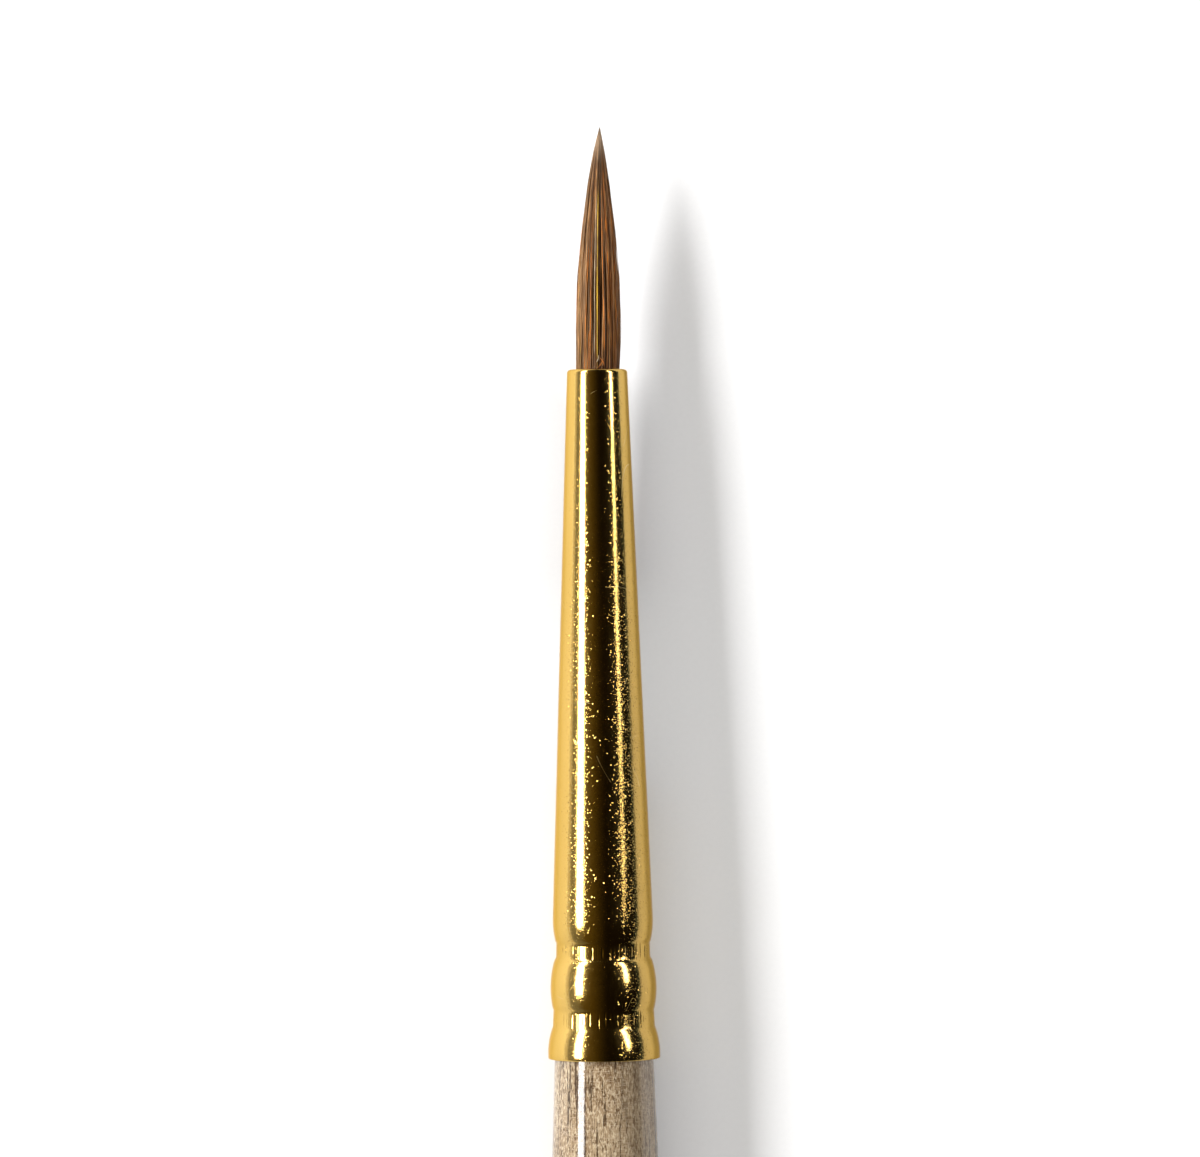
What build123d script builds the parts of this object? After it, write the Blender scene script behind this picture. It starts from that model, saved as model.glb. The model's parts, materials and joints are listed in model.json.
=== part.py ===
"""Fine detail brush: a turned wooden handle, a double-crimped brass ferrule and a pointed hair tuft.

Millimetres. The brush lies along Y with its point towards +Y, and its belly touches Z = 0.
Every piece is turned about the brush's own axis, so a profile's X is a radius and its Y a place
along the brush.
"""

import os
from math import cos, radians, sin, tan

from build123d import *

# Lengths along the brush
overall_length = 170.0
tuft_length = 10.8
ferrule_length = 30.6

# Handle
belly_radius = 2.75
belly_from_rim = 32.0
belly_straight = 5.0
neck_radius = 2.205
neck_slope = 0.037
tail_radius = 1.2
tenon_length = 12.5
tenon_nose = 0.5

# Ferrule
rim_radius = 2.49
mouth_radius = 1.346
mouth_bore = 1.0
lip_radius = 0.16
wall = 0.25
crimp_low, crimp_high = (1.38, 2.18), (4.45, 5.15)
taper_start, taper_start_radius = 6.2, 2.229
flute_count = 40
flute_radius = 0.12
flute_depth = 0.035

# Inside the ferrule
glue_thickness = 0.03
gap = 0.005
root_depth = 8.4
root_radius = 0.9
tie_depth = 6.6
thread_radius = 0.06
thread_turns = 5
cement_below_roots = 1.6
cement_above_tie = 2.0

# Tuft: (height above the ferrule's mouth, radius of the bundle there)
tuft_outline = [
    (1.84, 1.0),
    (3.98, 0.931),
    (6.11, 0.747),
    (8.24, 0.478),
    (9.67, 0.26),
]
mouth_hair_radius = 0.973
tip_radius = 0.02
belly_hair_top = 7.6
point_core_radius = 0.45

# Flex hinge, where the tuft bends
flex_height = 1.5
flex_cone = 21.0
socket_radius = 0.48

# Places along Y
tail_y = -overall_length / 2
tip_y = overall_length / 2
mouth_y = tip_y - tuft_length
rim_y = mouth_y - ferrule_length
belly_y = rim_y - belly_from_rim
flex_y = mouth_y + flex_height
root_y = mouth_y - root_depth
tie_y = mouth_y - tie_depth

axis_height = belly_radius
profile_plane = Plane.XY.offset(axis_height)
brush_axis = Axis((0, 0, axis_height), (0, 1, 0))


def across(y):
    """The plane square to the brush at y, centred on its axis."""
    return Plane(origin=(0, y, axis_height), x_dir=(1, 0, 0), z_dir=(0, 1, 0))


def taper_radius(height, inset=0.0):
    """Radius of the ferrule's straight taper at a height above its rim, less an inset."""
    slope = (taper_start_radius - mouth_radius) / (ferrule_length - taper_start)
    return taper_start_radius - slope * (height - taper_start) - inset


def crimped_end(inset):
    """The ferrule's outline from its rim to the start of its taper: flare, crimp, bulge, crimp.

    inset moves it towards the axis, for the bore, the glue and the tenon that share its shape.
    """

    def at(radius, height):
        return (radius - inset, rim_y + height)

    ThreePointArc(at(rim_radius, 0), at(2.45, 0.75), at(2.31, crimp_low[0] - 0.03))
    Polyline(
        at(2.31, crimp_low[0] - 0.03),
        at(2.27, crimp_low[0]),
        at(2.235, crimp_low[1]),
        at(2.265, crimp_low[1] + 0.04),
    )
    ThreePointArc(
        at(2.265, crimp_low[1] + 0.04), at(2.358, 3.2), at(2.16, crimp_high[0] - 0.04)
    )
    Polyline(
        at(2.16, crimp_high[0] - 0.04),
        at(2.09, crimp_high[0]),
        at(2.08, crimp_high[1]),
        at(2.115, crimp_high[1] + 0.05),
    )
    ThreePointArc(
        at(2.115, crimp_high[1] + 0.05),
        at(2.195, 5.62),
        at(taper_start_radius, taper_start),
    )


def tuft_points(first, last):
    """The tuft outline's own points between two heights above the mouth, as profile points."""
    return [(r, mouth_y + h) for h, r in tuft_outline if first < h < last]


def envelope(height):
    """Radius of the tuft at a height above the mouth, on straight lines between its points."""
    stations = [(0, mouth_hair_radius), *tuft_outline, (tuft_length, tip_radius)]
    for (low, r_low), (high, r_high) in zip(stations, stations[1:]):
        if height <= high:
            return r_low + (r_high - r_low) * (height - low) / (high - low)
    return tip_radius


# Handle: tail, long taper, belly, neck and the tenon that the ferrule is crimped on
glue_inset = wall + gap
tenon_inset = glue_inset + glue_thickness + gap
tenon_y = rim_y + tenon_length
tenon_radius = taper_radius(tenon_length, tenon_inset)
belly_back = (belly_radius, belly_y - belly_straight / 2)
belly_front = (belly_radius, belly_y + belly_straight / 2)
tail_start = (tail_radius, tail_y + tail_radius)
swell_length = 2 * (belly_radius - neck_radius) / neck_slope


def swell(depth):
    """A point of the handle's outline behind the rim, on a parabola from the neck to the belly."""
    return (neck_radius + neck_slope * depth * (1 - depth / (2 * swell_length)), rim_y - depth)



with BuildPart() as handle:
    with BuildSketch(profile_plane):
        with BuildLine():
            RadiusArc((0, tail_y), tail_start, -tail_radius)
            Spline(
                tail_start,
                (1.27, tail_y + 25),
                (1.5, tail_y + 50),
                belly_back,
                tangents=[(0.002, 1), (0, 1)],
            )
            Line(belly_back, belly_front)
            Spline(
                belly_front,
                swell(19),
                swell(8),
                swell(0),
                tangents=[(0, 1), (-neck_slope, 1)],
            )
            Line((neck_radius, rim_y), (rim_radius - tenon_inset, rim_y))
            crimped_end(tenon_inset)
            Polyline(
                (taper_start_radius - tenon_inset, rim_y + taper_start),
                (taper_radius(tenon_length - tenon_nose, tenon_inset), tenon_y - tenon_nose),
                (tenon_radius - tenon_nose / 2, tenon_y),
                (0, tenon_y),
                (0, tail_y),
            )
        make_face()
    revolve(axis=brush_axis)
handle.part.label = "handle"

# Ferrule: a drawn tube, tapered to the mouth, with two fluted crimps
with BuildPart() as ferrule:
    with BuildSketch(profile_plane):
        with BuildLine():
            crimped_end(0)
            Line(
                (taper_start_radius, rim_y + taper_start),
                (mouth_radius, mouth_y - lip_radius),
            )
            RadiusArc(
                (mouth_radius, mouth_y - lip_radius),
                (mouth_radius - lip_radius, mouth_y),
                -lip_radius,
            )
            Polyline(
                (mouth_radius - lip_radius, mouth_y),
                (mouth_bore + 0.03, mouth_y),
                (mouth_bore, mouth_y - 0.06),
                (mouth_bore, mouth_y - 0.5),
                (taper_radius(ferrule_length - 0.9, wall), mouth_y - 0.9),
                (taper_start_radius - wall, rim_y + taper_start),
            )
            crimped_end(wall)
            Line((rim_radius - wall, rim_y), (rim_radius, rim_y))
        make_face()
    revolve(axis=brush_axis)
    for (low, high), radius in ((crimp_low, 2.25), (crimp_high, 2.085)):
        with Locations(across(rim_y + (low + high) / 2)):
            with PolarLocations(radius + flute_radius - flute_depth, flute_count):
                Cylinder(flute_radius, high - low, mode=Mode.SUBTRACT)
ferrule.part.label = "ferrule"

# Glue: the film between the tenon and the ferrule
glue_top = tenon_length - 1.2
with BuildPart() as handle_glue:
    with BuildSketch(profile_plane):
        with BuildLine():
            crimped_end(glue_inset)
            Polyline(
                (taper_start_radius - glue_inset, rim_y + taper_start),
                (taper_radius(glue_top, glue_inset), rim_y + glue_top),
                (taper_radius(glue_top, tenon_inset - gap), rim_y + glue_top),
                (taper_start_radius - tenon_inset + gap, rim_y + taper_start),
            )
            crimped_end(tenon_inset - gap)
            Line((rim_radius - tenon_inset + gap, rim_y), (rim_radius - glue_inset, rim_y))
        make_face()
    revolve(axis=brush_axis)
handle_glue.part.label = "handle_glue"

# Hair roots: the tied bundle in the ferrule, up to the socket that the tuft flexes in
tie_waist = root_radius - 0.05
cone = tan(radians(flex_cone))
stub_radius = envelope(flex_height)
socket_edge = (
    socket_radius * cos(radians(flex_cone)),
    flex_y - socket_radius * sin(radians(flex_cone)),
)
with BuildPart() as hair_roots:
    with BuildSketch(profile_plane):
        with BuildLine():
            Polyline((0, root_y), (root_radius, root_y), (root_radius, root_y + 0.8))
            Spline(
                (root_radius, root_y + 0.8),
                (tie_waist, tie_y),
                (mouth_hair_radius, mouth_y - 1.0),
                tangents=[(0, 1), (0, 1)],
            )
            Polyline(
                (mouth_hair_radius, mouth_y - 1.0),
                (mouth_hair_radius, mouth_y),
                (stub_radius, flex_y - stub_radius * cone),
                socket_edge,
            )
            RadiusArc(socket_edge, (0, flex_y - socket_radius), socket_radius)
            Line((0, flex_y - socket_radius), (0, root_y))
        make_face()
    revolve(axis=brush_axis)
hair_roots.part.label = "hair_roots"

# Tie: fine thread wound round the bundle
thread_circle = tie_waist + thread_radius + gap
thread_pitch = 2 * thread_radius + 0.02
thread_length = thread_turns * thread_pitch
with BuildPart() as tie_thread:
    with BuildLine() as winding:
        Helix(
            thread_pitch,
            thread_length,
            thread_circle,
            center=(0, tie_y - thread_length / 2, axis_height),
            direction=(0, 1, 0),
        )
    with BuildSketch(Plane(origin=winding.line @ 0, z_dir=winding.line % 0)):
        Circle(thread_radius)
    sweep(is_frenet=True)
tie_thread.part.label = "tie_thread"

# Cement: the resin that sets the roots in the ferrule, with a hollow meniscus below
cement_low = root_y - cement_below_roots
cement_high = tie_y + cement_above_tie
tie_room = thread_circle + thread_radius + 2 * gap


def bore_at(y):
    """Radius that fills the ferrule's bore at y, less a hair's breadth."""
    return taper_radius(y - rim_y, wall + gap)


with BuildPart() as hair_cement:
    with BuildSketch(profile_plane):
        with BuildLine():
            ThreePointArc(
                (0, cement_low + 0.45),
                (bore_at(cement_low) / 2, cement_low + 0.34),
                (bore_at(cement_low), cement_low),
            )
            Polyline(
                (bore_at(cement_low), cement_low),
                (bore_at(cement_high), cement_high),
                (tie_room, cement_high),
                (tie_room, tie_y - thread_length / 2 - 0.2),
                (root_radius + gap, tie_y - thread_length / 2 - 0.3),
                (root_radius + gap, root_y - gap),
                (0, root_y - gap),
                (0, cement_low + 0.45),
            )
        make_face()
    revolve(axis=brush_axis)
hair_cement.part.label = "hair_cement"

# Point hairs: the long hairs down the middle, which make the point
belly_top_y = mouth_y + belly_hair_top
core_top_radius = envelope(belly_hair_top) - 0.08
with BuildPart() as point_hairs:
    with BuildSketch(profile_plane):
        with BuildLine():
            RadiusArc(
                (0, flex_y - point_core_radius),
                (point_core_radius, flex_y),
                -point_core_radius,
            )
            Line((point_core_radius, flex_y), (core_top_radius, belly_top_y))
            Spline(
                (core_top_radius, belly_top_y),
                *tuft_points(belly_hair_top, tuft_length),
                (tip_radius, tip_y),
            )
            Polyline((tip_radius, tip_y), (0, tip_y), (0, flex_y - point_core_radius))
        make_face()
    revolve(axis=brush_axis)
point_hairs.part.label = "point_hairs"

# Belly hairs: the shorter hairs round them, which fill the belly
skirt_radius = envelope(flex_height)
inner_foot = point_core_radius + gap
with BuildPart() as belly_hairs:
    with BuildSketch(profile_plane):
        with BuildLine():
            Polyline(
                (core_top_radius + gap, belly_top_y),
                (inner_foot, flex_y + inner_foot * cone),
                (skirt_radius, flex_y + skirt_radius * cone),
            )
            Spline(
                (skirt_radius, flex_y + skirt_radius * cone),
                *tuft_points(flex_height + skirt_radius * cone, belly_hair_top),
                (envelope(belly_hair_top), belly_top_y),
            )
            Line(
                (envelope(belly_hair_top), belly_top_y),
                (core_top_radius + gap, belly_top_y),
            )
        make_face()
    revolve(axis=brush_axis)
belly_hairs.part.label = "belly_hairs"

os.makedirs("parts", exist_ok=True)
for piece in (
    handle,
    ferrule,
    handle_glue,
    hair_roots,
    tie_thread,
    hair_cement,
    point_hairs,
    belly_hairs,
):
    export_step(piece.part, f"parts/{piece.part.label}.step")
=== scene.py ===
"""Looks for the fine detail brush: a lacquered wooden handle, a gold-coloured ferrule with two fluted
crimps, and a tuft of separate hairs. Blender 4.5, in metres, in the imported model's frame.

Outlines are written in millimetres, as (height, radius), and heights start at the ferrule's rim or at
its mouth. The brush's axis runs along Y, and +Z is up from the surface that it lies on.
"""

import json
from math import cos, hypot, pi, radians, sin, sqrt, tan

import bpy
import numpy as np
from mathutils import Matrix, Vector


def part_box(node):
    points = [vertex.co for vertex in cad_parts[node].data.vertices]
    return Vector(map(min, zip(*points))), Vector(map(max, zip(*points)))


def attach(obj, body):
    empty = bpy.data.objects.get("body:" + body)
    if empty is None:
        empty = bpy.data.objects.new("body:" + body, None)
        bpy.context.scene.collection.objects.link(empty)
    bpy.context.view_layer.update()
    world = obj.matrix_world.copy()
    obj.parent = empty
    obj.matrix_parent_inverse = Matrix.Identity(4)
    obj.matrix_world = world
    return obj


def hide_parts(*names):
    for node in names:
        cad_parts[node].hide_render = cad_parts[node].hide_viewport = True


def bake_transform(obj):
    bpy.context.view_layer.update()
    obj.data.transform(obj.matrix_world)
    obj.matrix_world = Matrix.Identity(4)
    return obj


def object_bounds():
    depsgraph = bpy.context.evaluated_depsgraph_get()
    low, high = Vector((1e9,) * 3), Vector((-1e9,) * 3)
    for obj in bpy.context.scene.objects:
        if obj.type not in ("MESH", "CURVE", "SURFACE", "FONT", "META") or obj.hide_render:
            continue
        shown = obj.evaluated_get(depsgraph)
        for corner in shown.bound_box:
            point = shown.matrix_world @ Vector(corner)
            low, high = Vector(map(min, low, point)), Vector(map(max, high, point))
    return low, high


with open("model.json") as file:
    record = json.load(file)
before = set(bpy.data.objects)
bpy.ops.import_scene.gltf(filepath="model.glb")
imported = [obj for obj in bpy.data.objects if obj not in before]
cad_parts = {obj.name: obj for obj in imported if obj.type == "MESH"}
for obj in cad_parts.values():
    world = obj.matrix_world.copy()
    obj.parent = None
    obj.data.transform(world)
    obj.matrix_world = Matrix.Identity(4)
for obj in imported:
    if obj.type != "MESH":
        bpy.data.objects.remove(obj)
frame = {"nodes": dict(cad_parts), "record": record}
cad_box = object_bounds()

MM = 0.001

# Places along the brush and across it, read from the frame
handle_low, handle_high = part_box("handle")
ferrule_low, ferrule_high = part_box("ferrule")
tail_y = handle_low.y
rim_y = ferrule_low.y
mouth_y = ferrule_high.y
tip_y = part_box("point_hairs")[1].y
root_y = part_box("hair_roots")[0].y
axis_z = (ferrule_low.z + ferrule_high.z) / 2
belly_grip = next(m for m in frame["record"]["mounts"] if m["name"] == "belly_grip")
belly_y = belly_grip["pos_m"][1]
belly_radius = belly_grip["dims"]["r_mm"]
belly_half = belly_grip["dims"]["length_mm"] / 2
tuft_length = (tip_y - mouth_y) / MM
ferrule_length = (mouth_y - rim_y) / MM
root_depth = (mouth_y - root_y) / MM

# Ferrule, in millimetres, as the CAD has it
MOUTH_RADIUS, MOUTH_BORE = 1.346, 1.0
LIP_RADIUS, WALL = 0.16, 0.25
LOW_CRIMP, HIGH_CRIMP = (1.38, 2.18), (4.45, 5.15)
TAPER_START, TAPER_START_RADIUS = 6.2, 2.229
FLUTES, FLUTE_DEPTH = 48, 0.022

# Handle, in millimetres
NECK_RADIUS, NECK_SLOPE = 2.205, 0.037
TAIL_RADIUS = 1.2
TAIL_OUTLINE = [(25, 1.27), (50, 1.5)]
TENON_INSET, TENON_LENGTH, TENON_NOSE = 0.29, 12.5, 0.5

# Tuft, in millimetres: (height above the mouth, radius of the bundle there)
TUFT_OUTLINE = [
    (0.0, 0.973),
    (1.84, 1.0),
    (3.98, 0.931),
    (6.11, 0.747),
    (8.24, 0.478),
    (9.67, 0.25),
    (10.38, 0.1),
]
TUFT_TIP_RADIUS = 0.008


# ---------------------------------------------------------------- outlines


def arc(first, middle, last, steps=10):
    """Points on the circle through three points of an outline, from first to last."""
    (x1, y1), (x2, y2), (x3, y3) = first, middle, last
    turn = 2 * (x1 * (y2 - y3) + x2 * (y3 - y1) + x3 * (y1 - y2))
    s1, s2, s3 = x1 * x1 + y1 * y1, x2 * x2 + y2 * y2, x3 * x3 + y3 * y3
    cx = (s1 * (y2 - y3) + s2 * (y3 - y1) + s3 * (y1 - y2)) / turn
    cy = (s1 * (x3 - x2) + s2 * (x1 - x3) + s3 * (x2 - x1)) / turn
    start, mid, end = (np.arctan2(y - cy, x - cx) for x, y in (first, middle, last))
    if not min(start, end) <= mid <= max(start, end):
        start, end = (a % (2 * pi) for a in (start, end))
    radius = hypot(x1 - cx, y1 - cy)
    return [
        (cx + radius * cos(a), cy + radius * sin(a)) for a in np.linspace(start, end, steps + 1)
    ]


def smooth_curve(points, start_slope, end_slope, step):
    """A smooth outline through points, with a given slope at each end, sampled about every step."""
    x, y = (np.array(v, float) for v in zip(*points))
    slopes = np.gradient(y, x)
    slopes[0], slopes[-1] = start_slope, end_slope
    out = []
    for i in range(len(x) - 1):
        gap = x[i + 1] - x[i]
        count = max(2, round(gap / step))
        for t in np.arange(count) / count:
            a, b = 2 * t**3 - 3 * t * t + 1, 3 * t * t - 2 * t**3
            c, d = t**3 - 2 * t * t + t, t**3 - t * t
            bent = gap * (c * slopes[i] + d * slopes[i + 1])
            out.append((x[i] + gap * t, a * y[i] + b * y[i + 1] + bent))
    return out + [points[-1]]


def straight(first, last, steps):
    """Points from first to last, so that a long straight stretch gets several rings."""
    return [tuple(np.array(first) + (np.array(last) - first) * t) for t in np.linspace(0, 1, steps + 1)]


def crimped_end(inset=0.0, fine=True):
    """Outline of the rim, the crimps and the bulge between them, as (height above the rim, radius)."""
    low, high = LOW_CRIMP, HIGH_CRIMP
    stretches = [
        [(0, 2.455), (0.025, 2.483)],
        arc((0.06, 2.49), (0.75, 2.45), (low[0] - 0.09, 2.322), 8),
        [(low[0] - 0.03, 2.3), (low[0] + 0.03, 2.276)],
        straight((low[0] + 0.09, 2.265), (low[1], 2.235), 5),
        arc((low[1] + 0.05, 2.265), (3.2, 2.358), (high[0] - 0.1, 2.18), 15),
        [(high[0] - 0.04, 2.145), (high[0] + 0.02, 2.108)],
        straight((high[0] + 0.09, 2.09), (high[1], 2.08), 5),
        arc((high[1] + 0.06, 2.12), (5.62, 2.195), (TAPER_START, TAPER_START_RADIUS), 7),
    ]
    if not fine:
        stretches = [stretch[::3] + stretch[-1:] for stretch in stretches]
    return [(h, r - inset) for stretch in stretches for h, r in stretch]


def taper_radius(height, inset=0.0):
    """Radius of the ferrule's straight taper at a height above its rim."""
    slope = (TAPER_START_RADIUS - MOUTH_RADIUS) / (ferrule_length - TAPER_START)
    return TAPER_START_RADIUS - slope * (height - TAPER_START) - inset


def ferrule_outline():
    """The ferrule's wall, up its outside from the rim, over the lip and back down its bore."""
    lip_start = ferrule_length - LIP_RADIUS
    outside = crimped_end()
    taper_low = TAPER_START + 0.5
    outside += straight((taper_low, taper_radius(taper_low)), (lip_start, MOUTH_RADIUS), 8)
    half = LIP_RADIUS * sqrt(0.5)
    outside += arc(
        (lip_start, MOUTH_RADIUS),
        (lip_start + half, MOUTH_RADIUS - LIP_RADIUS + half),
        (ferrule_length, MOUTH_RADIUS - LIP_RADIUS),
        7,
    )[1:]
    inside = [
        (ferrule_length, MOUTH_BORE + 0.03),
        (ferrule_length - 0.06, MOUTH_BORE),
        (ferrule_length - 0.5, MOUTH_BORE),
        (ferrule_length - 0.9, taper_radius(ferrule_length - 0.9, WALL)),
    ]
    return outside + inside + crimped_end(WALL, fine=False)[::-1]


def handle_outline():
    """The handle from its tail to the end of its tenon, as (height above the rim, radius)."""
    tail = (tail_y - rim_y) / MM
    belly = (belly_y - rim_y) / MM
    dome = arc(
        (tail, 0),
        (tail + TAIL_RADIUS * (1 - sqrt(0.5)), TAIL_RADIUS * sqrt(0.5)),
        (tail + TAIL_RADIUS, TAIL_RADIUS),
        12,
    )
    long_taper = smooth_curve(
        [dome[-1], *((tail + h, r) for h, r in TAIL_OUTLINE), (belly - belly_half, belly_radius)],
        0.02,
        0.0,
        1.2,
    )
    reach = 2 * (belly_radius - NECK_RADIUS) / NECK_SLOPE
    depths = np.linspace(-belly - belly_half, 0, 34)
    swell = [(-d, NECK_RADIUS + NECK_SLOPE * d * (1 - d / (2 * reach))) for d in depths]
    swell[0] = (belly + belly_half, belly_radius)
    nose = TENON_LENGTH - TENON_NOSE
    tenon = crimped_end(TENON_INSET, fine=False)
    tenon += [
        (nose, taper_radius(nose, TENON_INSET)),
        (TENON_LENGTH, taper_radius(TENON_LENGTH, TENON_INSET) - TENON_NOSE / 2),
        (TENON_LENGTH, 0),
    ]
    return dome + long_taper[1:] + swell + tenon


# ---------------------------------------------------------------- meshes


def add_object(name, points, faces, corners, sharp_above=None):
    """A smooth-shaded mesh object. corners holds one (u, v) for each corner of each face."""
    mesh = bpy.data.meshes.new(name)
    mesh.from_pydata(points.tolist(), [], faces)
    uv = mesh.uv_layers.new(name="OFBake")
    uv.data.foreach_set("uv", np.array(corners, np.float32).ravel())
    mesh.polygons.foreach_set("use_smooth", np.ones(len(mesh.polygons), bool))
    if sharp_above is not None:
        mesh.set_sharp_from_angle(angle=radians(sharp_above))
    mesh.validate()
    thing = bpy.data.objects.new(name, mesh)
    bpy.context.scene.collection.objects.link(thing)
    return thing


def lathe(name, outline, segments, strips, closed=False, shape=None, sharp_above=30):
    """Turns an outline of (height above the rim, radius) round the brush's axis.

    shape gives each point's change of radius from its height and angle. The bake's UV map cuts the
    turned surface into strips of equal length, laid side by side.
    """
    turn = np.arange(segments) * 2 * pi / segments
    points, starts = [], []
    for height, radius in outline:
        starts.append(len(points))
        if radius < 1e-9:
            points.append((0, rim_y + height * MM, axis_z))
            continue
        reach = radius + (shape(height, radius, turn) if shape else 0 * turn)
        for angle, r in zip(turn, reach):
            points.append((r * MM * sin(angle), rim_y + height * MM, axis_z + r * MM * cos(angle)))
    rows = list(zip(range(len(outline)), range(1, len(outline))))
    if closed:
        rows.append((len(outline) - 1, 0))
    lengths = [hypot(outline[b][0] - outline[a][0], outline[b][1] - outline[a][1]) for a, b in rows]
    along = np.concatenate([[0], np.cumsum(lengths)])
    strip_of = np.minimum((along[:-1] / along[-1] * strips).astype(int), strips - 1)
    strip_start = [along[:-1][strip_of == s].min() for s in range(strips)]
    strip_span = max(along[1:][strip_of == s].max() - strip_start[s] for s in range(strips))
    faces, corners = [], []
    for (a, b), low, high, strip in zip(rows, along, along[1:], strip_of):
        u1, u2 = ((v - strip_start[strip]) / strip_span * 0.98 + 0.01 for v in (low, high))
        one_a, one_b = outline[a][1] < 1e-9, outline[b][1] < 1e-9
        for j in range(segments):
            k = (j + 1) % segments
            v1, v2 = ((strip + 0.02 + 0.96 * t / segments) / strips for t in (j, j + 1))
            if one_a:
                faces.append((starts[a], starts[b] + j, starts[b] + k))
                corners += [(u1, (v1 + v2) / 2), (u2, v1), (u2, v2)]
            elif one_b:
                faces.append((starts[a] + k, starts[a] + j, starts[b]))
                corners += [(u1, v2), (u1, v1), (u2, (v1 + v2) / 2)]
            else:
                faces.append((starts[a] + j, starts[b] + j, starts[b] + k, starts[a] + k))
                corners += [(u1, v1), (u2, v1), (u2, v2), (u1, v2)]
    return add_object(name, np.array(points), faces, corners, sharp_above)


# ---------------------------------------------------------------- node helpers


def fill_ramp(ramp, stops):
    """Gives a colour ramp its (place, colour) stops."""
    while len(ramp.elements) < len(stops):
        ramp.elements.new(1.0)
    for element, (place, colour) in zip(ramp.elements, stops):
        element.position = place
        element.color = (*colour, 1.0)


class Nodes:
    """A material with a Principled shader, and short calls that add the nodes used here."""

    def __init__(self, name):
        self.material = bpy.data.materials.new(name)
        self.material.use_nodes = True
        self.tree = self.material.node_tree
        self.shader = self.tree.nodes["Principled BSDF"]

    def add(self, kind, **inputs):
        node = self.tree.nodes.new(kind)
        for key, value in inputs.items():
            self.feed(node.inputs[key.replace("_", " ")], value)
        return node

    def feed(self, socket, value):
        """Links an output to a socket, or sets the socket's own number or colour."""
        if isinstance(value, bpy.types.NodeSocket):
            self.tree.links.new(value, socket)
        elif socket.type == "RGBA":
            socket.default_value = (*value[:3], 1.0)
        else:
            socket.default_value = value

    def set(self, **inputs):
        for key, value in inputs.items():
            self.feed(self.shader.inputs[key.replace("_", " ")], value)

    def place(self, scale):
        """Object coordinates, in cells of the given number per millimetre."""
        where = self.add("ShaderNodeTexCoord").outputs["Object"]
        per_metre = [s / MM for s in scale]
        return self.add("ShaderNodeMapping", Vector=where, Scale=per_metre).outputs[0]

    def noise(self, scale, detail=2.0, rough=0.5, distortion=0.0):
        node = self.add("ShaderNodeTexNoise", Vector=self.place(scale), Scale=1.0, Detail=detail)
        node.inputs["Roughness"].default_value = rough
        node.inputs["Distortion"].default_value = distortion
        return node.outputs["Fac"]

    def cells(self, scale):
        """The node of cells round scattered points: a random Color each, and Distance to the point."""
        return self.add("ShaderNodeTexVoronoi", Vector=self.place(scale), Scale=1.0)

    def band(self, value, low, high, to_low=0.0, to_high=1.0):
        """value carried smoothly from low..high to to_low..to_high, and held there."""
        node = self.add("ShaderNodeMapRange", Value=value)
        node.interpolation_type = "SMOOTHSTEP"
        limits = {"From Min": low, "From Max": high, "To Min": to_low, "To Max": to_high}
        for key, number in limits.items():
            node.inputs[key].default_value = number
        return node.outputs[0]

    def math(self, operation, a, b=0.0):
        node = self.tree.nodes.new("ShaderNodeMath")
        node.operation = operation
        self.feed(node.inputs[0], a)
        self.feed(node.inputs[1], b)
        return node.outputs[0]

    def vector(self, operation, a, b=None, scale=None):
        node = self.tree.nodes.new("ShaderNodeVectorMath")
        node.operation = operation
        self.feed(node.inputs[0], a)
        if b is not None:
            self.feed(node.inputs[1], b)
        if scale is not None:
            self.feed(node.inputs["Scale"], scale)
        return node.outputs[0]

    def part(self, vector, axis):
        """One component of a vector or a colour."""
        return self.add("ShaderNodeSeparateXYZ", Vector=vector).outputs[axis]

    def mix(self, factor, a, b):
        """Two colours mixed by a factor."""
        node = self.tree.nodes.new("ShaderNodeMix")
        node.data_type = "RGBA"
        self.feed(node.inputs[0], factor)
        self.feed(node.inputs[6], a)
        self.feed(node.inputs[7], b)
        return node.outputs[2]

    def ramp(self, value, stops, steps=False):
        """A colour ramp through (place, colour) stops."""
        node = self.add("ShaderNodeValToRGB", Fac=value)
        node.color_ramp.interpolation = "CONSTANT" if steps else "LINEAR"
        fill_ramp(node.color_ramp, stops)
        return node.outputs["Color"]

    def attribute(self, name):
        node = self.add("ShaderNodeAttribute")
        node.attribute_name = name
        return node.outputs["Fac"]

    def bump(self, height, distance):
        """A normal from a height that is 0 to 1, over a distance in millimetres."""
        node = self.add("ShaderNodeBump", Height=height, Strength=1.0)
        node.inputs["Distance"].default_value = distance * MM
        return node.outputs[0]


def srgb(red, green, blue):
    """A linear colour from 0 to 255 screen values."""
    values = (v / 255 for v in (red, green, blue))
    return tuple(v / 12.92 if v <= 0.04045 else ((v + 0.055) / 1.055) ** 2.4 for v in values)


# ---------------------------------------------------------------- handle


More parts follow.
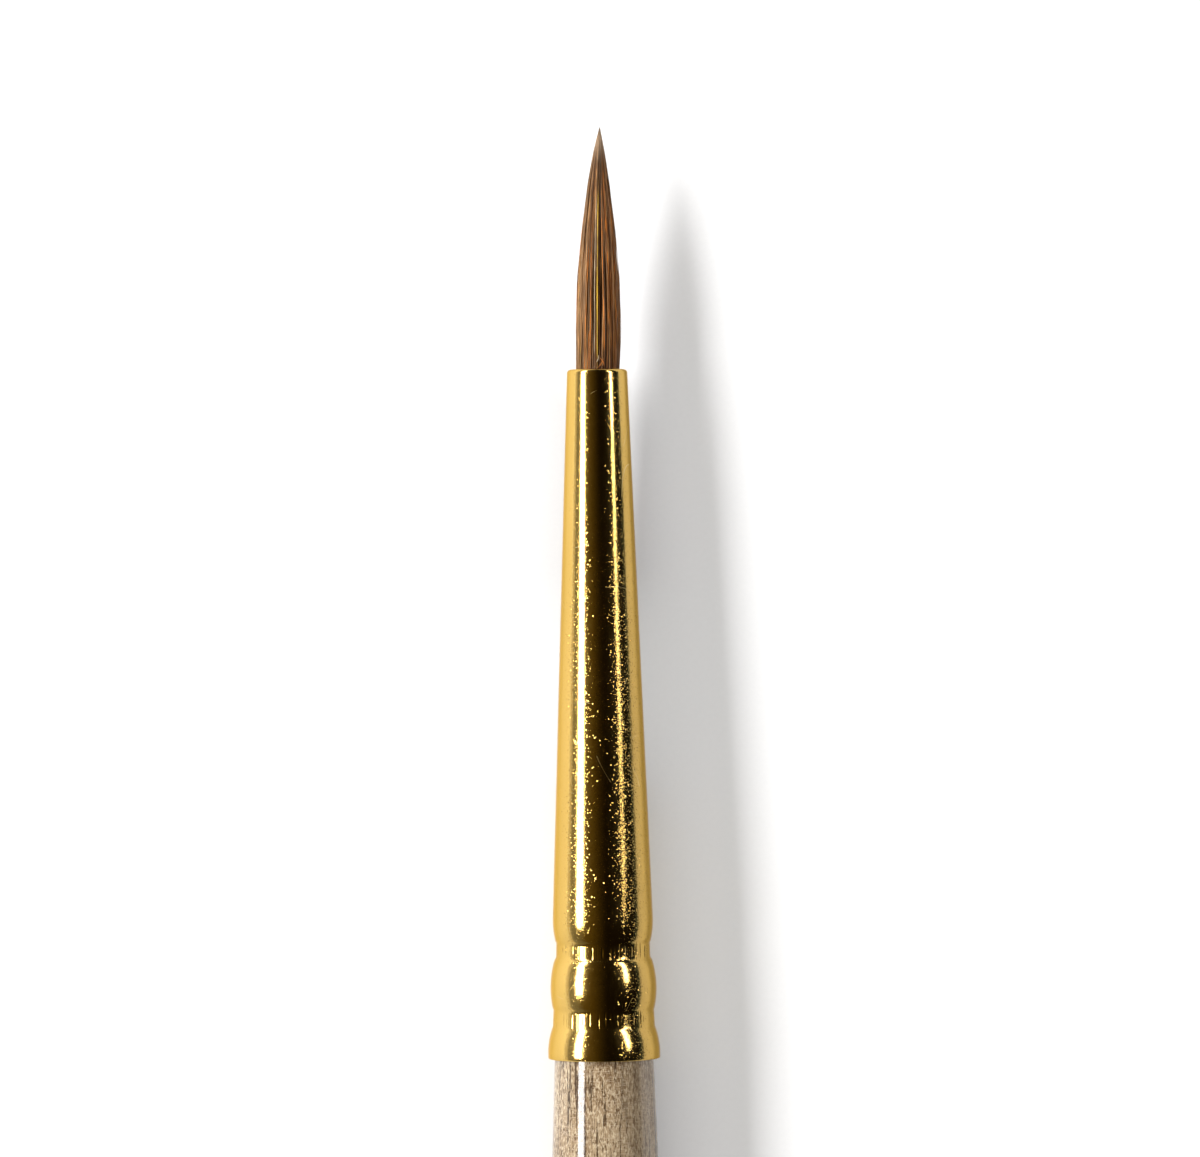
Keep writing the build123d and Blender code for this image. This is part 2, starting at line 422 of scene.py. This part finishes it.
def wood_material():
    """Pale close-grained wood with brown pores and streaks, under clear gloss lacquer."""
    m = Nodes("lacquered_wood")
    where = m.add("ShaderNodeTexCoord").outputs["Object"]
    broad = m.noise((0.8, 0.12, 0.8), 2.0)
    ground = m.ramp(
        broad,
        [(0.34, srgb(126, 102, 74)), (0.5, srgb(146, 123, 94)), (0.66, srgb(164, 143, 114))],
    )

    # Cells of the wood: short brown streaks and pale flecks, a few to each millimetre
    fine = m.noise((13.0, 3.0, 13.0), 3.0, 0.6)
    streaked = m.mix(m.band(fine, 0.47, 0.62, 0.0, 0.85), ground, srgb(82, 57, 34))
    pale = m.band(m.noise((15.0, 5.0, 15.0), 2.0, 0.6), 0.5, 0.66, 0.0, 0.75)
    grained = m.mix(pale, streaked, srgb(206, 188, 158))
    rays = m.math(
        "MULTIPLY",
        m.band(m.noise((2.4, 16.0, 2.4), 2.0, 0.6), 0.5, 0.64, 0.0, 0.55),
        m.band(m.noise((0.8, 0.6, 0.8), 1.0), 0.38, 0.56),
    )
    rayed = m.mix(rays, grained, srgb(184, 165, 138))

    # Shade painted on the +X side. It is part of the colour, and stays there under any other light
    shade = m.band(m.part(where, "X"), 0.1 * MM, 2.0 * MM, 0.0, 0.5)
    shaded = m.mix(shade, rayed, srgb(104, 88, 69))

    # Pores: long thin brown lines, closer together in some stretches, and broken up along the grain
    zone = m.band(m.noise((1.0, 0.1, 1.0), 1.0), 0.4, 0.56, 0.3, 1.0)
    pores = m.band(m.noise((5.0, 0.18, 5.0), 3.0, 0.65), 0.53, 0.61, 0.0, 0.95)
    broken = m.band(m.noise((9.0, 3.5, 9.0), 2.0), 0.36, 0.52, 0.3, 1.0)
    lines = m.math("MULTIPLY", m.math("MULTIPLY", pores, broken), zone)
    m.set(
        Base_Color=m.mix(lines, shaded, srgb(56, 38, 22)),
        Roughness=m.band(fine, 0.3, 0.7, 0.5, 0.62),
        Coat_Weight=1.0,
        Coat_Roughness=0.02,
        Coat_IOR=1.5,
        Specular_IOR_Level=0.1,
    )
    m.set(Normal=m.bump(m.math("SUBTRACT", fine, lines), 0.004))
    m.set(Coat_Normal=m.bump(m.noise((5.0, 4.0, 5.0), 3.0, 0.7), 0.003))
    return m.material


def make_handle():
    handle = lathe("turned_handle", handle_outline(), 160, strips=3)
    handle.data.materials.append(wood_material())
    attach(handle, "brush")
    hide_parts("handle")


# ---------------------------------------------------------------- ferrule


def gold_material():
    """Gold-coloured brass: polished, and pitted and finely scratched from handling."""
    m = Nodes("gilt_brass")
    tone = m.noise((0.5, 0.12, 0.5), 3.0)
    colour = m.ramp(tone, [(0.3, (0.6, 0.39, 0.104)), (0.7, (0.655, 0.43, 0.122))])
    where = m.add("ShaderNodeTexCoord").outputs["Object"]

    # Painted by place on the brush, and so kept under any other light: painted shade, a darker colour on
    # the +X side, and wear that grows to the +X side and falls off towards the mouth and the rim
    darkened = m.band(m.part(where, "X"), 0.5 * MM, 1.6 * MM, 0.0, 0.9)
    colour = m.mix(darkened, colour, (0.46, 0.3, 0.09))
    along = m.part(where, "Y")
    below_mouth = m.band(along, mouth_y - 14 * MM, mouth_y - 1 * MM, 1.35, 0.5)
    above_rim = m.band(along, rim_y + 5 * MM, rim_y + 7 * MM, 0.55, 1.0)
    side = m.band(m.part(where, "X"), -0.2 * MM, 0.8 * MM, 0.5, 1.1)
    patchy = m.band(m.noise((0.9, 0.3, 0.9), 3.0, 0.6), 0.35, 0.65, 0.6, 1.15)
    lengthwise = m.math("MULTIPLY", below_mouth, above_rim)
    worn = m.math("MULTIPLY", lengthwise, m.math("MULTIPLY", side, patchy))

    # Specks: most are tilted a very little, and a few of them a lot
    hue = m.cells((37.0, 37.0, 37.0)).outputs["Color"]
    luck = m.add("ShaderNodeTexWhiteNoise", Vector=hue).outputs["Value"]
    amount = m.math("MULTIPLY_ADD", m.math("POWER", luck, 10.0), 0.55)
    amount.node.inputs[2].default_value = 0.015
    tilt = m.vector("MULTIPLY_ADD", hue, (2.0, 2.0, 2.0))
    tilt.node.inputs[2].default_value = (-1.0, -1.0, -1.0)
    tilt = m.vector("SCALE", tilt, scale=m.math("MULTIPLY", worn, amount))

    grain = m.noise((18.0, 18.0, 18.0), 2.0, 0.6)
    turned = m.noise((4.0, 20.0, 4.0), 2.0, 0.6)
    curl = m.math("ABSOLUTE", m.math("SUBTRACT", m.noise((0.3, 0.36, 0.3), 0.0), 0.5))
    there = m.band(m.noise((0.7, 0.6, 0.7), 1.0), 0.56, 0.6)
    scratch = m.math("MULTIPLY", m.band(curl, 0.0, 0.003, 1.0, 0.0), there)
    ripple = m.math("ADD", m.math("MULTIPLY", grain, 0.25), turned)
    dents = m.math("SUBTRACT", m.math("MULTIPLY", ripple, worn), m.math("MULTIPLY", scratch, 0.5))
    polish = m.band(m.noise((6.0, 3.0, 6.0), 3.0, 0.7), 0.3, 0.7, 0.115, 0.145)
    m.set(
        Base_Color=m.mix(m.math("MULTIPLY", scratch, 0.35), colour, (0.8, 0.68, 0.45)),
        Metallic=1.0,
        Roughness=m.math("ADD", polish, m.math("MULTIPLY", scratch, 0.2)),
        Specular_Tint=(1.0, 0.8, 0.46),
        Normal=m.vector("NORMALIZE", m.vector("ADD", m.bump(dents, 0.0035), tilt)),
    )
    return m.material


def flute_shape(seed):
    """The change of radius that the crimps' uneven flutes press into the wall."""
    rng = np.random.default_rng(seed)
    bands = []
    for low, high in (LOW_CRIMP, HIGH_CRIMP):
        centres = (np.arange(FLUTES) + rng.uniform(-0.25, 0.25, FLUTES)) * 2 * pi / FLUTES
        depths = FLUTE_DEPTH * rng.uniform(0.1, 1.0, FLUTES)
        widths = 2 * pi / FLUTES * rng.uniform(0.09, 0.18, FLUTES)
        lows = low + rng.uniform(-0.04, 0.3, FLUTES)
        highs = high - rng.uniform(-0.06, 0.25, FLUTES)
        bands.append((lows, highs, centres, depths, widths))

    def shape(height, radius, turn):
        change = 0.0015 * np.sin(3 * turn + height * 0.7) + 0.001 * np.sin(5 * turn - height * 1.9)
        change = change * min(1.0, height / 2)
        for band in bands:
            for low, high, centre, depth, width in zip(*band):
                fade = np.clip((min(height - low, high - height) + 0.02) / 0.1, 0, 1)
                if fade == 0:
                    continue
                away = np.abs((turn - centre + pi) % (2 * pi) - pi)
                change -= fade * depth * np.where(away < width, np.cos(away / width * pi / 2) ** 2, 0)
        return change

    return shape


def make_ferrule():
    ferrule = lathe(
        "crimped_ferrule",
        ferrule_outline(),
        960,
        strips=2,
        closed=True,
        shape=flute_shape(seed=4),
        sharp_above=38,
    )
    ferrule.data.materials.append(gold_material())
    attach(ferrule, "brush")
    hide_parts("ferrule")
    # Diffuse rays pass through it, so the gold throws no light on the floor
    ferrule.visible_diffuse = False


# ---------------------------------------------------------------- tuft

HAIR_RADIUS = 0.034
HAIR_SIDES = 5
TONES = 40

# Hair tones from dark to pale, each with the share of hairs that has it
HAIR_TONES = [
    (srgb(30, 15, 7), 0.08),
    (srgb(48, 26, 12), 0.1),
    (srgb(72, 41, 18), 0.13),
    (srgb(96, 57, 26), 0.15),
    (srgb(116, 72, 34), 0.17),
    (srgb(140, 80, 26), 0.06),
    (srgb(136, 90, 46), 0.14),
    (srgb(172, 120, 66), 0.1),
    (srgb(208, 160, 102), 0.06),
]
# Accent tones: ORANGE and GOLDEN are partly hair colour and partly painted glints, light shining in the
# hair
ORANGE, GOLDEN, PALE = srgb(214, 116, 18), srgb(222, 176, 48), srgb(186, 168, 140)


def tuft_radius(height):
    """Radius of the bundle at heights above the mouth. It goes on straight into the ferrule."""
    heights, radii = zip(*TUFT_OUTLINE, (tuft_length, TUFT_TIP_RADIUS))
    return np.interp(height, heights, radii)


def bow(height):
    """How far the tuft's middle leans to +X: it is bowed a little, as a used brush is."""
    up = np.clip(height, 0, None)
    lean = 0.07 * (1 - np.exp(-up / 2)) + 0.13 * (up / tuft_length) ** 4
    return 0.03 * np.clip(1 + height / 2, 0, 1) + lean


def hair_material():
    """Each hair has one tone, darkest at the ferrule and paler and greyer towards its tip."""
    m = Nodes("hair")
    tone, height = m.attribute("tone"), m.attribute("height")
    shares = np.cumsum([0] + [share for _, share in HAIR_TONES])
    shares = shares / shares[-1] * 0.9
    stops = [(float(s), colour) for s, (colour, _) in zip(shares, HAIR_TONES)]
    stops += [(0.9, ORANGE), (0.94, GOLDEN), (0.97, PALE)]
    colour = m.ramp(tone, stops, steps=True)
    # Painted glints: the accent hairs keep their own colour only in stretches along them, and are brown in
    # between
    accent = m.band(tone, 0.895, 0.905)
    darkened = m.band(m.noise((2.0, 0.42, 2.0), 1.0), 0.44, 0.54, 0.85, 0.0)
    colour = m.mix(m.math("MULTIPLY", accent, darkened), colour, srgb(104, 64, 30))

    # Painted light: paler hair on the -X side, a painted lit side, and so kept under any other light
    where = m.add("ShaderNodeTexCoord").outputs["Object"]
    painted_lit_side = m.band(m.part(where, "X"), -0.9 * MM, 0.1 * MM, 0.34, 0.0)
    colour = m.mix(painted_lit_side, colour, srgb(196, 146, 92))
    # Painted shade: the hair is darker over its first 1.6 mm above the mouth
    shade = m.band(height, 0.0, 1.6, 0.22, 0.0)
    shaded_at_mouth = m.mix(shade, colour, srgb(38, 22, 13))
    mottle = m.band(m.noise((9.0, 0.7, 9.0), 2.0, 0.6), 0.42, 0.62, 0.0, 0.6)
    aged = m.mix(mottle, shaded_at_mouth, srgb(62, 32, 10))
    paler = m.band(height, 8.9, tuft_length, 0.0, 0.75)
    m.set(
        Base_Color=m.mix(paler, aged, srgb(190, 164, 136)),
        Roughness=m.band(mottle, 0.0, 0.45, 0.28, 0.4),
        Specular_IOR_Level=0.6,
        Specular_Tint=(1.0, 0.8, 0.55),
    )
    return m.material


def core_material():
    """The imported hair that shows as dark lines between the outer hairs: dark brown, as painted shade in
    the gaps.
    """
    m = Nodes("hair_core")
    lines = m.noise((18.0, 0.3, 18.0), 2.0)
    m.set(
        Base_Color=m.ramp(lines, [(0.35, srgb(22, 11, 5)), (0.65, srgb(58, 32, 14))]),
        Roughness=0.6,
    )
    return m.material


def add_strands(name, strands, material):
    """One mesh of closed, tapering tubes. A strand is (centres, radii, tone, height above the mouth)."""
    points, faces, corners, tones, heights = [], [], [], [], []
    around = np.arange(HAIR_SIDES) * 2 * pi / HAIR_SIDES
    ring = np.stack([np.sin(around), 0 * around, np.cos(around)], 1)
    for centres, radii, tone, height in strands:
        start, rings = len(points), len(centres)
        for centre, radius in zip(centres[:-1], radii[:-1]):
            points.extend((centre + ring * radius).tolist())
        points.append(centres[-1].tolist())
        tones += [tone] * ((rings - 1) * HAIR_SIDES + 1)
        heights += np.repeat(height[:-1], HAIR_SIDES).tolist() + [height[-1]]
        column = int(tone * TONES)
        span = (height + root_depth) / (tuft_length + root_depth)
        across = [(column + 0.1 + 0.8 * s / HAIR_SIDES) / TONES for s in range(HAIR_SIDES + 1)]
        faces.append(tuple(start + s for s in range(HAIR_SIDES)))
        corners += [(across[s], span[0]) for s in range(HAIR_SIDES)]
        for i in range(rings - 2):
            low, high = start + i * HAIR_SIDES, start + (i + 1) * HAIR_SIDES
            for s in range(HAIR_SIDES):
                n = (s + 1) % HAIR_SIDES
                faces.append((low + s, high + s, high + n, low + n))
                corners += [
                    (across[s], span[i]),
                    (across[s], span[i + 1]),
                    (across[s + 1], span[i + 1]),
                    (across[s + 1], span[i]),
                ]
        last, end = start + (rings - 2) * HAIR_SIDES, start + (rings - 1) * HAIR_SIDES
        for s in range(HAIR_SIDES):
            faces.append((last + s, end, last + (s + 1) % HAIR_SIDES))
            corners += [(across[s], span[-2]), (across[s], span[-1]), (across[s + 1], span[-2])]
    thing = add_object(name, np.array(points), faces, corners)
    for key, values in (("tone", tones), ("height", heights)):
        attribute = thing.data.attributes.new(key, "FLOAT", "POINT")
        attribute.data.foreach_set("value", np.array(values, np.float32))
    thing.data.materials.append(material)
    return thing


def in_frame(height, x, z):
    """Points of the frame, in metres, from millimetres above the mouth and off the brush's axis."""
    return np.stack([x * MM, mouth_y + height * MM, axis_z + z * MM], 1)


class Bundle:
    """Lays hairs side by side in the tuft: packed in a disc at the ferrule, and drawn to a point."""

    def __init__(self, seed, clumps=17):
        self.rng = np.random.default_rng(seed)
        self.clumps = (np.arange(clumps) + self.rng.uniform(-0.3, 0.3, clumps)) * 2 * pi / clumps
        self.half_clump = pi / clumps

    def path(self, share, turn, top, thickness, wander=1.0, proud=0.0, samples=24):
        """One hair, from its root to a height of top. share is its place from the middle to the rim."""
        rng = self.rng
        height = np.concatenate([np.linspace(-root_depth + 0.2, 0, 5)[:-1], np.linspace(0, top, samples)])
        part = np.clip(height / top, 0, 1)
        loose = np.clip(height / 2.5, 0, 1) * np.clip((tuft_length - height) / 2.5, 0, 1)
        offset = (turn - self.clumps + pi) % (2 * pi) - pi
        nearest = np.argmin(np.abs(offset))
        away = offset[nearest]
        drawn = self.clumps[nearest] + away * (1 - 0.2 * loose)
        waves = rng.uniform(0, 2 * pi, 2)
        sway = np.sin(part * rng.uniform(2, 4.5) + waves[0]) - np.sin(waves[0])
        angle = drawn + 0.08 * wander * sway + 0.09 * wander * rng.normal() * part
        groove = 1 - 0.08 * loose * min(1, abs(away) / self.half_clump) ** 2 * share
        ripple = 1 + 0.02 * wander * loose * np.sin(part * rng.uniform(4, 9) + waves[1])
        radii = thickness * (0.94 - 0.1 * np.cos(part * pi)) * (1 - part**3.2) ** 0.75
        radii[-1] = 0.0
        inner = np.clip(tuft_radius(height) - thickness * 0.9 * (1 - part**4), 0.0, None)
        out = share * inner * groove * ripple + proud * loose
        x = out * np.sin(angle) + bow(height)
        z = out * np.cos(angle)
        return in_frame(height, x, z), radii * MM, height

    def tone(self, share):
        """A place in the hair tones: the hairs on the outside have them all, and those inside are dark, as
        painted shade in the gaps between the outer hairs.
        """
        shaded_inside = float(np.clip((0.95 - share) / 0.1, 0, 1))
        return 0.899 * float(self.rng.uniform() ** (0.9 + 2.2 * shaded_inside))


def broken_bit(first, last, arch, tone):
    """A short broken hair that lies on top of the tuft, from one (height, offset to +X) to another."""
    t = np.linspace(0, 1, 9)
    height, x = (a + (b - a) * t for a, b in zip(first, last))
    x = x + 0.05 * np.sin(pi * t)
    lift = tuft_radius(height) + 0.03 + arch * np.sin(pi * t)
    radii = 0.026 * (1 - t**6)
    return in_frame(height, x, lift), radii * MM, tone, height


def bend_with_tuft(thing):
    """Puts the hair's placement into its mesh; the hair is not bent here."""
    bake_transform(thing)
    return thing


# Hairs that stand out, in the accent tones that carry painted glints: (turn from the top, height, tone,
# how proud it is, thickness)
ACCENTS = [
    (-0.02, 8.6, 0.955, 0.012, 0.028),
    (-0.17, 9.9, 0.985, 0.02, 0.024),
    (-0.66, 7.4, 0.92, 0.006, 0.018),
    (-0.5, 6.6, 0.92, 0.006, 0.016),
    (-0.38, 8.6, 0.92, 0.002, 0.016),
    (0.3, 8.2, 0.92, 0.006, 0.018),
    (0.46, 9.0, 0.92, 0.006, 0.018),
    (0.6, 7.2, 0.92, 0.002, 0.016),
    (0.95, 7.8, 0.92, 0.002, 0.016),
    (-0.95, 8.0, 0.955, 0.002, 0.016),
    (1.6, 7.5, 0.955, 0.004, 0.02),
    (2.7, 8.1, 0.92, 0.006, 0.022),
    (-2.2, 8.8, 0.985, 0.006, 0.02),
    (-1.5, 6.9, 0.92, 0.005, 0.02),
]
FRINGE = 12

# Broken hairs at the ferrule's mouth: (first end, last end, arch, tone)
BROKEN_BITS = [
    ((0.05, 0.04), (0.5, 0.3), 0.03, 0.92),
    ((0.12, 0.32), (0.5, 0.12), 0.05, 0.92),
    ((0.3, -0.02), (0.62, 0.06), 0.02, 0.985),
    ((0.02, 0.2), (0.3, 0.24), 0.03, 0.1),
]


def make_tuft():
    hair = hair_material()
    bundle = Bundle(seed=11)
    golden_angle = pi * (3 - sqrt(5))
    count = 1000
    belly, point = [], []
    for i in range(count):
        share = sqrt((i + 0.5) / count)
        if share < 0.64:
            continue
        turn = i * golden_angle + bundle.rng.normal() * 0.02
        reaches = bundle.rng.uniform() < 0.6
        top = tuft_length - bundle.rng.gamma(1.2, 0.22) if reaches else bundle.rng.uniform(7.0, 10.0)
        thickness = HAIR_RADIUS * bundle.rng.uniform(0.7, 1.2)
        line, radii, height = bundle.path(share, turn, top, thickness)
        (point if reaches else belly).append((line, radii, bundle.tone(share), height))
    for turn, top, tone, proud, thickness in ACCENTS:
        line, radii, height = bundle.path(1.0, turn, top, thickness, 0.6, proud)
        belly.append((line, radii, tone, height))
    for turn, reach in zip(bundle.rng.normal(1.2, 0.5, FRINGE), bundle.rng.uniform(9.6, 10.6, FRINGE)):
        line, radii, height = bundle.path(1.0, turn, reach, 0.012, 1.5, bundle.rng.uniform(0.01, 0.04))
        belly.append((line, radii, 0.7, height))
    belly += [broken_bit(*bit) for bit in BROKEN_BITS]
    belly_hairs = bend_with_tuft(add_strands("belly_hair_strands", belly, hair))
    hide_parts("belly_hairs")
    point_hairs = bend_with_tuft(add_strands("point_hair_strands", point, hair))
    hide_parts("point_hairs", "hair_roots")
    make_core()


def make_core():
    """The middle of the bundle, as one ridged body that the outer hairs hide."""
    share, top = 0.74, 9.4
    heights = np.concatenate([np.linspace(-root_depth + 0.1, -0.4, 6), np.linspace(0, top, 40)])
    radii = tuft_radius(heights) * share
    radii[-1] = 0
    radii[0] *= 0.9
    core = (in_frame(heights, bow(heights), 0 * heights), radii * MM, 0.0, heights)
    bend_with_tuft(add_strands("hair_core", [core], core_material()))


# ---------------------------------------------------------------- CAD nodes that stay


def resin_material(name, light, dark, roughness):
    """Set glue or cement, with cloudy variation and fine bubbles."""
    m = Nodes(name)
    cloud = m.noise((1.2, 0.8, 1.2), 3.0)
    bubbles = m.band(m.cells((6.0, 6.0, 6.0)).outputs["Distance"], 0.1, 0.25, 1.0, 0.0)
    m.set(
        Base_Color=m.ramp(cloud, [(0.3, dark), (0.7, light)]),
        Roughness=roughness,
        Normal=m.bump(bubbles, 0.01),
    )
    return m.material


def thread_material():
    """Fine twisted thread: its plies run slantwise round it."""
    m = Nodes("thread")
    ply = m.noise((5.0, 22.0, 5.0), 2.0)
    m.set(
        Base_Color=m.ramp(ply, [(0.35, srgb(168, 156, 132)), (0.65, srgb(222, 214, 196))]),
        Roughness=0.8,
        Sheen_Weight=0.3,
        Normal=m.bump(ply, 0.02),
    )
    return m.material


def dress_hidden_nodes():
    """Materials for the CAD nodes inside the ferrule, which stay as they are."""
    looks = {
        "handle_glue": resin_material("glue", srgb(226, 204, 150), srgb(196, 168, 108), 0.25),
        "hair_cement": resin_material("cement", srgb(140, 98, 54), srgb(96, 62, 32), 0.3),
        "tie_thread": thread_material(),
    }
    for node, look in looks.items():
        for place in frame["nodes"][node].material_slots:
            place.material = look


# ---------------------------------------------------------------- floor, light and camera


def make_floor():
    """A flat pale sheet that the brush's belly rests on."""
    size, height = 4.0, cad_box[0].z
    mesh = bpy.data.meshes.new("floor")
    corners = [(-size, -size), (size, -size), (size, size), (-size, size)]
    mesh.from_pydata([(x, y, height) for x, y in corners], [], [(0, 1, 2, 3)])
    floor = bpy.data.objects.new("floor", mesh)
    bpy.context.scene.collection.objects.link(floor)
    m = Nodes("paper")
    fibre = m.noise((5.0, 5.0, 5.0), 3.0)
    m.set(
        Base_Color=m.ramp(fibre, [(0.3, (0.835, 0.835, 0.84)), (0.7, (0.85, 0.85, 0.855))]),
        Roughness=0.6,
        Specular_IOR_Level=0.5,
    )
    mesh.materials.append(m.material)


def add_softbox(name, from_zenith, spread, low_y, high_y, radiance, distance=1.0, skew=0.0):
    """A long softbox beside the brush. Angles are in degrees from straight up; negative is to the left.

    skew turns the softbox about the line to the brush.
    """
    light = bpy.data.lights.new(name, "AREA")
    light.shape = "RECTANGLE"
    light.size = 2 * distance * tan(radians(spread / 2))
    light.size_y = high_y - low_y
    light.energy = radiance * pi * light.size * light.size_y
    thing = bpy.data.objects.new(name, light)
    angle = radians(from_zenith)
    thing.location = (distance * sin(angle), (low_y + high_y) / 2, distance * cos(angle))
    thing.rotation_euler = (0, angle, 0)
    thing.rotation_euler.rotate_axis("Z", radians(skew))
    thing.visible_camera = False
    bpy.context.scene.collection.objects.link(thing)
    return thing


# The world's colour by height above the level, in degrees, on the -X side and on the +X side
LEFT_SKY = [
    (7, (0.95, 0.95, 0.95)),
    (10, (0.3, 0.3, 0.3)),
    (27, (0.2, 0.2, 0.2)),
    (36, (0.12, 0.084, 0.012)),
]
RIGHT_SKY = [
    (0.5, (0.3, 0.2, 0.12)),
    (1.5, (0.14, 0.24, 0.38)),
    (4.5, (0.05, 0.085, 0.11)),
    (12, (0.008, 0.0055, 0.002)),
]
SKY_CHANGE = (-0.75, 0.2)


def make_light():
    """A bright softbox on the left, a shorter one on the right and a weak wide fill from above."""
    add_softbox("key", -54.4, 15, -0.09, 1.2, radiance=20)
    add_softbox("card", 49, 8, 0.155, 0.95, radiance=15, skew=12)
    fill = add_softbox("fill", 0, 75, -0.8, 1.0, radiance=1.0, distance=1.2)
    fill.visible_glossy = False
    world = bpy.data.worlds.new("studio")
    world.use_nodes = True
    tree = world.node_tree
    ray = tree.nodes.new("ShaderNodeTexCoord").outputs["Generated"]
    split = tree.nodes.new("ShaderNodeSeparateXYZ")
    tree.links.new(ray, split.inputs[0])
    skies = []
    for sky in (LEFT_SKY, RIGHT_SKY):
        ramp = tree.nodes.new("ShaderNodeValToRGB")
        tree.links.new(split.outputs["Z"], ramp.inputs["Fac"])
        fill_ramp(ramp.color_ramp, [(sin(radians(up)), colour) for up, colour in sky])
        skies.append(ramp.outputs[0])
    side = tree.nodes.new("ShaderNodeMapRange")
    tree.links.new(split.outputs["X"], side.inputs["Value"])
    side.interpolation_type = "SMOOTHSTEP"
    side.inputs["From Min"].default_value, side.inputs["From Max"].default_value = SKY_CHANGE
    mix = tree.nodes.new("ShaderNodeMix")
    mix.data_type = "RGBA"
    tree.links.new(side.outputs[0], mix.inputs[0])
    tree.links.new(skies[0], mix.inputs[6])
    tree.links.new(skies[1], mix.inputs[7])
    tree.links.new(mix.outputs[2], tree.nodes["Background"].inputs["Color"])
    bpy.context.scene.world = world


LENS, SENSOR_WIDTH = 200, 36
VIEW_WIDTH, VIEW_BELOW_MOUTH, VIEW_ASIDE = 53.33, 9.29, 0.035
VIEW_TURN = -0.6


def make_camera():
    """Straight above, framing the tuft, the ferrule and the first of the handle."""
    data = bpy.data.cameras.new("camera")
    data.lens, data.sensor_width = LENS, SENSOR_WIDTH
    camera = bpy.data.objects.new("camera", data)
    distance = VIEW_WIDTH * MM * data.lens / data.sensor_width
    camera.location = (VIEW_ASIDE * MM, mouth_y - VIEW_BELOW_MOUTH * MM, axis_z + distance)
    camera.rotation_euler = (0, 0, radians(VIEW_TURN))
    data.clip_start, data.clip_end = 0.01, 20
    bpy.context.scene.collection.objects.link(camera)
    bpy.context.scene.camera = camera


make_handle()
make_ferrule()
make_tuft()
dress_hidden_nodes()
make_floor()
make_light()
make_camera()
bpy.context.scene.view_settings.view_transform = "Standard"
